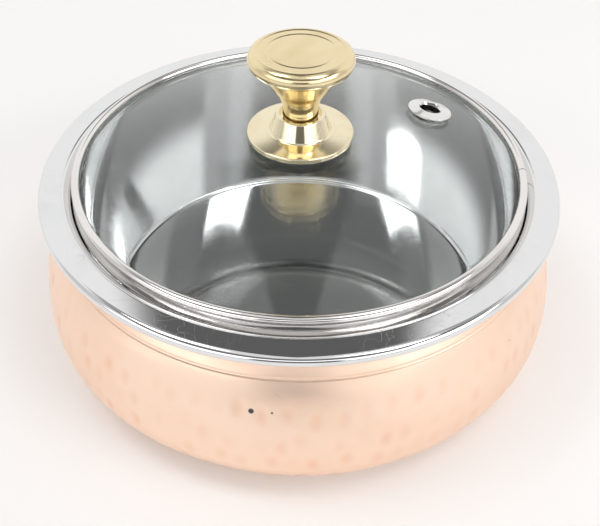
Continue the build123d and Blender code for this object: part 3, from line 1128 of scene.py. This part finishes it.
# %% [markdown]
# ## The steam vent
#
# The vent is an eyelet: a thin tube with a flange pressed on its top and its lower end clinched over a
# washer. It is turned square in its own frame and then placed on the dome. The edges are rounded more than
# on turned pieces, because the sheet is pressed.

# %% Vent eyelet and washer
vent_flange_w = 3.5
vent_flange_h = 1.2
vent_washer_w = 2.7
vent_washer_t = 0.6
vent_washer_clear = 0.1
vent_clinch_w = 1.3
pressed_edge = 0.2
stamped_edge = 0.15
cut_edge = 0.1
vent_washer_r = vent_tube_r + vent_washer_w
vent_washer_z = -glass_t - sag(vent_washer_r, dome_in_r)
vent_end_z = vent_washer_z - vent_washer_t
vent_steel = metal(
    "Vent steel",
    colour=(0.80, 0.79, 0.78),
    worn=(0.72, 0.71, 0.70),
    roughness=0.10,
    dulled=0.10,
    lines_per_mm=3.0,
    line_depth=0.001,
    scratch_depth=0.003,
)
flange_r = vent_tube_r + vent_flange_w
clinch_r = vent_tube_r + vent_clinch_w
eyelet_outline = rounded([
    (vent_r, vent_end_z - vent_wall, cut_edge),
    (clinch_r, vent_end_z - vent_wall, pressed_edge),
    (clinch_r, vent_end_z, cut_edge),
    (vent_tube_r, vent_end_z, 0),
    (vent_tube_r, 0, 0),
    (flange_r, 0, 0),
    (flange_r, vent_wall, pressed_edge),
    (vent_tube_r + vent_wall, vent_flange_h, pressed_edge),
    (vent_tube_r, vent_flange_h, pressed_edge),
    (vent_r, vent_wall, pressed_edge),
])
eyelet_mesh = swept("steam_vent", eyelet_outline, SMALL_TURNS, vent_place)
hand_over(eyelet_mesh, vent_steel, "vent_eyelet")
washer_in_r = vent_tube_r + vent_washer_clear
washer_outline = rounded([
    (washer_in_r, vent_end_z, cut_edge),
    (vent_washer_r, vent_end_z, stamped_edge),
    (vent_washer_r, vent_washer_z, cut_edge),
    (washer_in_r, vent_washer_z, cut_edge),
])
washer_mesh = swept("vent_clinch_washer", washer_outline, SMALL_TURNS, vent_place)
hand_over(washer_mesh, vent_steel, "vent_washer")

# %% [markdown]
# ## The brass knob
#
# The knob is two turned pieces: a rosette with a bell on the glass, and a handle that stands in the bell.
# Turning leaves fine rings, strongest on the flat top of the disc, so brass has more and deeper polish
# lines than steel. The rosette is brushed paler than the handle, so it gets a finish of its own.

# %% Brass finishes and rosette
brass = metal(
    "Turned brass",
    colour=(0.87, 0.74, 0.47),
    worn=(0.82, 0.67, 0.40),
    roughness=0.13,
    dulled=0.08,
    lines_per_mm=3.0,
    line_depth=0.004,
    scratch_depth=0.004,
)
rosette_metal = metal(
    "Pale turned brass",
    colour=(0.88, 0.79, 0.57),
    worn=(0.83, 0.72, 0.49),
    roughness=0.10,
    dulled=0.08,
    lines_per_mm=3.0,
    line_depth=0.003,
    scratch_depth=0.004,
)
bell_h = 5.6
bell_recess = 1.4
rosette_edge_h = 1.5
rosette_slope = 0.5
rosette_round = 0.5
bell_foot_round = 1.0
turned_edge = 0.12
flange_top_z = rosette_z + rosette_edge_h
lip_z = flange_top_z + rosette_slope + bell_h
seat_z = lip_z - bell_recess
rosette_outline = rounded([
    (shank_hole_r, rosette_z, 0),
    (rosette_r, rosette_z, turned_edge),
    (rosette_r, flange_top_z, rosette_round),
    (bell_foot_r, flange_top_z + rosette_slope, bell_foot_round),
    (bell_lip_r, lip_z, rosette_round),
    (seat_r, lip_z, turned_edge),
    (seat_r, seat_z, 0),
    (shank_hole_r, seat_z, 0),
])
hand_over(swept("bell_rosette", rosette_outline), rosette_metal, "knob_rosette")

# %% [markdown]
# ## The handle
#
# The stem has a slim waist and flares like a trumpet into a disc with a round edge. The top has a small
# step, a turned ring and a shallow cone. The waist is one arc through three points, found from its circle.

# %% Knob handle
stem_foot_round = 1.2
stem_waist_r = 5.5
stem_waist_h = 3.5
stem_flare_r = 8.4
stem_h = 10.1
disc_r = 15.8
disc_edge_r = 2.6
disc_under_rise = 6.7
disc_top_step = 0.15
disc_step_w = 0.5
disc_ring_inset = 2.6
disc_ring_depth = 0.1
disc_ring_w = 0.5
disc_cone_h = 0.4
knob_hole_deep = 9.0
knob_turns = 192
fine_chord = 0.4         # longest step along the waist, mm
disc_z = seat_z + stem_h


def arc_through(first, middle, last):
    """Points on the circle through three points, without the first one."""
    a, b, c = (Vector(point) for point in (first, middle, last))
    double = 2 * (a.x * (b.y - c.y) + b.x * (c.y - a.y) + c.x * (a.y - b.y))
    squares = [point.dot(point) for point in (a, b, c)]
    x = squares[0] * (b.y - c.y) + squares[1] * (c.y - a.y) + squares[2] * (a.y - b.y)
    y = squares[0] * (c.x - b.x) + squares[1] * (a.x - c.x) + squares[2] * (b.x - a.x)
    centre = Vector((x, y)) / double
    start = math.atan2(a.y - centre.y, a.x - centre.x)
    sweep = math.atan2(c.y - centre.y, c.x - centre.x) - start
    sweep = (sweep + math.pi) % math.tau - math.pi
    return bend_points(centre, (a - centre).length, start, sweep, fine_chord)


def handle_outline():
    hole_top = seat_z + knob_hole_deep
    edge_mid_r = disc_r - disc_edge_r
    edge_low_z = disc_z + disc_under_rise
    face_z = edge_low_z + 2 * disc_edge_r - disc_top_step
    step_r = edge_mid_r - disc_step_w
    ring_r = step_r - disc_ring_inset
    foot_mid = (stem_foot_r - stem_foot_round, seat_z + stem_foot_round)
    foot_top = (stem_foot_r, seat_z + stem_foot_round)
    outline = [(0, hole_top), (shank_hole_r, hole_top), (shank_hole_r, seat_z), (foot_mid[0], seat_z)]
    outline += bend_points(foot_mid, stem_foot_round, -math.pi / 2, math.pi / 2)
    outline += arc_through(foot_top, (stem_waist_r, seat_z + stem_waist_h), (stem_flare_r, disc_z))
    outline += [(edge_mid_r, edge_low_z)]
    outline += bend_points((edge_mid_r, edge_low_z + disc_edge_r), disc_edge_r, -math.pi / 2, math.pi)
    ring = rounded([
        (*outline[-1], 0),
        (step_r, face_z, turned_edge),
        (ring_r + disc_ring_w, face_z, turned_edge),
        (ring_r, face_z - disc_ring_depth, turned_edge),
        (ring_r - disc_ring_w, face_z, turned_edge),
        (0, face_z + disc_cone_h, 0),
    ])
    return outline + ring[1:]


handle_mesh = swept("turned_knob_handle", handle_outline(), knob_turns)
hand_over(handle_mesh, brass, "knob_handle")

# %% [markdown]
# ## Fixings under the glass
#
# A flat washer, a split lock washer and a cross-head screw draw the knob down. They only show when the lid
# is lifted. Zinc plating is duller and bluer than polished steel. The lock washer's slit is an open sweep,
# and the screw's cross is cut with two bars.

# %% Zinc fixings
zinc = metal(
    "Zinc plate",
    colour=(0.68, 0.70, 0.73),
    worn=(0.60, 0.61, 0.62),
    roughness=0.26,
    dulled=0.14,
    lines_per_mm=4.0,
    line_depth=0.002,
    scratch_depth=0.004,
)
washer_w = 4.4
washer_t = 1.0
lock_washer_w = 1.7
lock_washer_t = 1.2
lock_washer_slit = 0.8
screw_head_w = 2.25
screw_head_h = 3.0
screw_head_round = 1.4
screw_cross_w = 1.1
screw_cross_l = 5.2
screw_cross_deep = 1.6
screw_end_clear = 1.0
screw_end_round = 0.5
plated_edge = 0.15
lock_top_z = washer_top_z - washer_t
head_top_z = lock_top_z - lock_washer_t
head_low_z = head_top_z - screw_head_h
screw_end_z = seat_z + knob_hole_deep - screw_end_clear
lock_washer_r = shank_hole_r + lock_washer_w


def eased_ring(inner, outer, low, high):
    """Outline of a flat ring with eased edges."""
    corners = ((inner, low), (outer, low), (outer, high), (inner, high))
    return rounded([(*corner, plated_edge) for corner in corners])


flat = eased_ring(shank_hole_r, shank_hole_r + washer_w, lock_top_z, washer_top_z)
hand_over(swept("flat_washer", flat, SMALL_TURNS), zinc, "knob_washer")
split = eased_ring(shank_hole_r, lock_washer_r, head_top_z, lock_top_z)
split_mesh = swept("split_washer", split, SMALL_TURNS, slit=lock_washer_slit / lock_washer_r)
hand_over(split_mesh, zinc, "knob_lock_washer")

screw_outline = rounded([
    (0, head_low_z, 0),
    (screw_r + screw_head_w, head_low_z, screw_head_round),
    (screw_r + screw_head_w, head_top_z, plated_edge),
    (screw_r, head_top_z, 0),
    (screw_r, screw_end_z, screw_end_round),
    (0, screw_end_z, 0),
])


def cross_bar(turn_deg):
    """A bar for the screw's cross, turned about the axis."""
    bar = bmesh.new()
    size = Matrix.Diagonal((screw_cross_l, screw_cross_w, 2 * screw_cross_deep, 1))
    turn = Matrix.Rotation(math.radians(turn_deg), 4, "Z")
    place = Matrix.Scale(MM, 4) @ Matrix.Translation((0, 0, head_low_z)) @ turn @ size
    bmesh.ops.create_cube(bar, size=1, matrix=place)
    mesh = bpy.data.meshes.new("cross_bar")
    bar.to_mesh(mesh)
    bar.free()
    return mesh


screw = cut(swept("cross_head_screw", screw_outline, SMALL_TURNS), cross_bar(0), cross_bar(90))
hand_over(screw, zinc, "knob_screw")

# %% [markdown]
# ## Floor
#
# The pan stands on a pale, slightly cloudy floor. It is part of the stage, not of the object. A disc a few
# metres across is enough, and it lies a hair below the base so that the two never share a plane. The
# camera, the metal and the glass see it a little brighter than it is lit, which makes a white background
# without more light on the pan, and the pan's shadow stays.

# %% Floor
floor_reach = 4.0        # metres
floor_sides = 64
floor_drop = 0.05 * MM
floor_glow = 0.05
floor_pale, floor_cloudy = (0.91, 0.90, 0.895), (0.90, 0.89, 0.885)
floor_rough = (0.55, 0.65)


def make_floor_paint():
    material, tree, shader, coords = new_material("Pale floor")
    cloud = placed(tree, handling, coords, Scale=6.0)
    colour = blended(tree, cloud, (*floor_pale, 1), (*floor_cloudy, 1))
    join(tree, colour, shader.inputs["Base Color"])
    join(tree, ramp(tree, cloud, 0.0, 1.0, *floor_rough), shader.inputs["Roughness"])
    rays = add(tree, "ShaderNodeLightPath").outputs
    seen = maths(tree, "MAXIMUM", rays["Is Glossy Ray"], rays["Is Transmission Ray"])
    seen = maths(tree, "MAXIMUM", rays["Is Camera Ray"], seen)
    shader.inputs["Emission Color"].default_value = (1, 1, 1, 1)
    join(tree, times(tree, seen, floor_glow), shader.inputs["Emission Strength"])
    return material


floor_shape = bmesh.new()
bmesh.ops.create_circle(floor_shape, cap_ends=True, radius=floor_reach, segments=floor_sides)
bmesh.ops.translate(floor_shape, verts=floor_shape.verts, vec=(0, 0, -floor_drop))
floor_mesh = bpy.data.meshes.new("pale_floor")
floor_shape.to_mesh(floor_mesh)
floor_shape.free()
floor_mesh.materials.append(make_floor_paint())
floor = in_scene("pale_floor", floor_mesh)
print("floor", 2 * floor_reach, "m across")

# %% [markdown]
# ## Light tent
#
# Polished metal is only as good as what it mirrors, so the world is a simple light tent, painted by
# direction: white behind the pan with a dark board high in the middle, a bright low front with a dark gap
# in its middle, a dark upper front, sides that turn grey with height, and a pale top. The dark parts give
# the steel its contrast. Each part has a soft edge, so that no hard line shows in the metal.

# %% World
world = bpy.data.worlds.new("Light tent")
scene.world = world
world.use_nodes = True
tent_white = (1.0, 0.995, 0.99)
tent_top, tent_gap, tent_board = 0.85, 0.17, 0.13    # brightness of the top and of the dark parts
back_bright = (1.0, 0.4)             # brightness below and above each part's edge
low_front_bright = (0.4, 1.8)
side_bright = (0.7, 0.25)
back_edge = (46, 52)                 # degrees above the horizon, where each soft edge starts and ends
low_front_edge = (3, 9)
high_front_edge = (33, 38)
gap_edge = (26, 21)
side_edge = (41, 46)
top_edge = (58, 64)
board_edge = (37, 42)
back_turn, front_turn = (0.15, 0.35), (-0.15, -0.35)     # soft edges as shares, 1 straight behind the pan
gap_turn = (-0.94, -0.97)
board_left, board_right = (-0.32, -0.24), (0.26, 0.18)   # and 1 straight to its right


def over_edge(tree, up, edge, first=0.0, second=1.0):
    """From first to second across a soft edge that is given in degrees above the horizon."""
    start, end = (math.sin(math.radians(angle)) for angle in edge)
    return ramp(tree, up, start, end, first, second)


def towards(tree, share, start, end):
    """A brightness that goes from start to the constant end as share goes from 0 to 1."""
    return maths(tree, "MULTIPLY_ADD", share, maths(tree, "SUBTRACT", end, start), start)


def paint_tent(tree):
    away = add(tree, "ShaderNodeTexCoord").outputs["Generated"]
    up = add(tree, "ShaderNodeSeparateXYZ", {"Vector": away}).outputs["Z"]
    level = vectors(tree, "NORMALIZE", vectors(tree, "MULTIPLY", away, (1, 1, 0)))
    turned = add(tree, "ShaderNodeSeparateXYZ", {"Vector": level}).outputs
    side, behind = turned["X"], turned["Y"]
    back = ramp(tree, behind, *back_turn)
    front = ramp(tree, behind, *front_turn)
    sides = maths(tree, "SUBTRACT", 1.0, plus(tree, back, front))
    low_front = over_edge(tree, up, low_front_edge, *low_front_bright)
    front_light = towards(tree, over_edge(tree, up, high_front_edge), low_front, tent_gap)
    gap = times(tree, ramp(tree, behind, *gap_turn), over_edge(tree, up, gap_edge))
    front_light = towards(tree, gap, front_light, tent_gap)
    light = times(tree, back, over_edge(tree, up, back_edge, *back_bright))
    light = maths(tree, "MULTIPLY_ADD", front, front_light, light)
    light = maths(tree, "MULTIPLY_ADD", sides, over_edge(tree, up, side_edge, *side_bright), light)
    light = towards(tree, over_edge(tree, up, top_edge), light, tent_top)
    board = times(tree, ramp(tree, side, *board_left), ramp(tree, side, *board_right))
    board = times(tree, board, times(tree, back, over_edge(tree, up, board_edge)))
    light = towards(tree, board, light, tent_board)
    join(tree, light, tree.nodes["Background"].inputs["Strength"])
    tree.nodes["Background"].inputs["Color"].default_value = (*tent_white, 1)


paint_tent(world.node_tree)
print("light tent:", len(world.node_tree.nodes), "nodes")

# %% [markdown]
# ## Softboxes
#
# Two soft lamps hang high on the left and the right, and a third stands low on the right. They model the
# round belly and show as white windows in the steel and the brass. Each is given as a window of directions
# seen from the pan, because that is what the metal mirrors, and all three are equally bright.

# %% Lamps
lamp_radiance = 4.0
lamp_distance = 0.9                  # metres from the pan
lamp_aim = Vector((0, 0, 0.04))
lamp_windows = {                     # azimuth, lower edge, upper edge and width, in degrees
    "softbox_left": (-92, 55.5, 75.5, 18),
    "softbox_right": (119, 55.5, 75.5, 18),
    "softbox_right_low": (115, 29, 37, 33),
}


def window_size(degrees):
    """Size in metres of a lamp that looks so many degrees wide from the pan."""
    return 2 * lamp_distance * math.tan(math.radians(degrees) / 2)


def softbox(name, azimuth_deg, low_deg, high_deg, wide_deg):
    """A soft lamp that fills a window of directions, with azimuth counted from the back to the right."""
    turn, lift = math.radians(azimuth_deg), math.radians((low_deg + high_deg) / 2)
    lamp = bpy.data.lights.new(name, "AREA")
    lamp.shape = "RECTANGLE"
    lamp.size = window_size(wide_deg)
    lamp.size_y = window_size(high_deg - low_deg)
    lamp.energy = lamp_radiance * math.pi * lamp.size * lamp.size_y
    level = Vector((math.sin(turn), math.cos(turn), 0)) * math.cos(lift)
    spot = lamp_aim + (level + Vector((0, 0, math.sin(lift)))) * lamp_distance
    facing = (lamp_aim - spot).to_track_quat("-Z", "Y")
    holder = in_scene(name, lamp)
    holder.matrix_world = Matrix.Translation(spot) @ facing.to_matrix().to_4x4()
    holder.visible_camera = False


for lamp_name, window in lamp_windows.items():
    softbox(lamp_name, *window)
print("lamps:", list(lamp_windows))

# %% [markdown]
# ## Camera
#
# The camera stands where the circles of the lip, band, rosette and knob overlap those of the photograph.
# It looks down at about 43 degrees from close by, through a normal lens, with a trace of roll.

# %% Camera
camera_at = Vector((0.54, -209.84, 209.72)) * MM
pitch, yaw, roll = (math.radians(angle) for angle in (42.91, 0.02, 0.96))
lens = bpy.data.cameras.new("Photo view")
lens.lens = 48.0
lens.sensor_width = 36.0
lens.sensor_fit = "HORIZONTAL"
lens.clip_start = 0.01
ahead = Vector((math.sin(yaw) * math.cos(pitch), math.cos(yaw) * math.cos(pitch), -math.sin(pitch)))
level_right = Vector((math.cos(yaw), -math.sin(yaw), 0))
level_up = level_right.cross(ahead)
right = math.cos(roll) * level_right + math.sin(roll) * level_up
up = math.cos(roll) * level_up - math.sin(roll) * level_right
camera = in_scene("Photo view", lens)
facing = Matrix((right, up, -ahead)).transposed()
camera.matrix_world = Matrix.Translation(camera_at) @ facing.to_4x4()
scene.camera = camera
scene.view_settings.view_transform = "Standard"
print("camera at", [round(value / MM, 1) for value in camera_at], "mm")
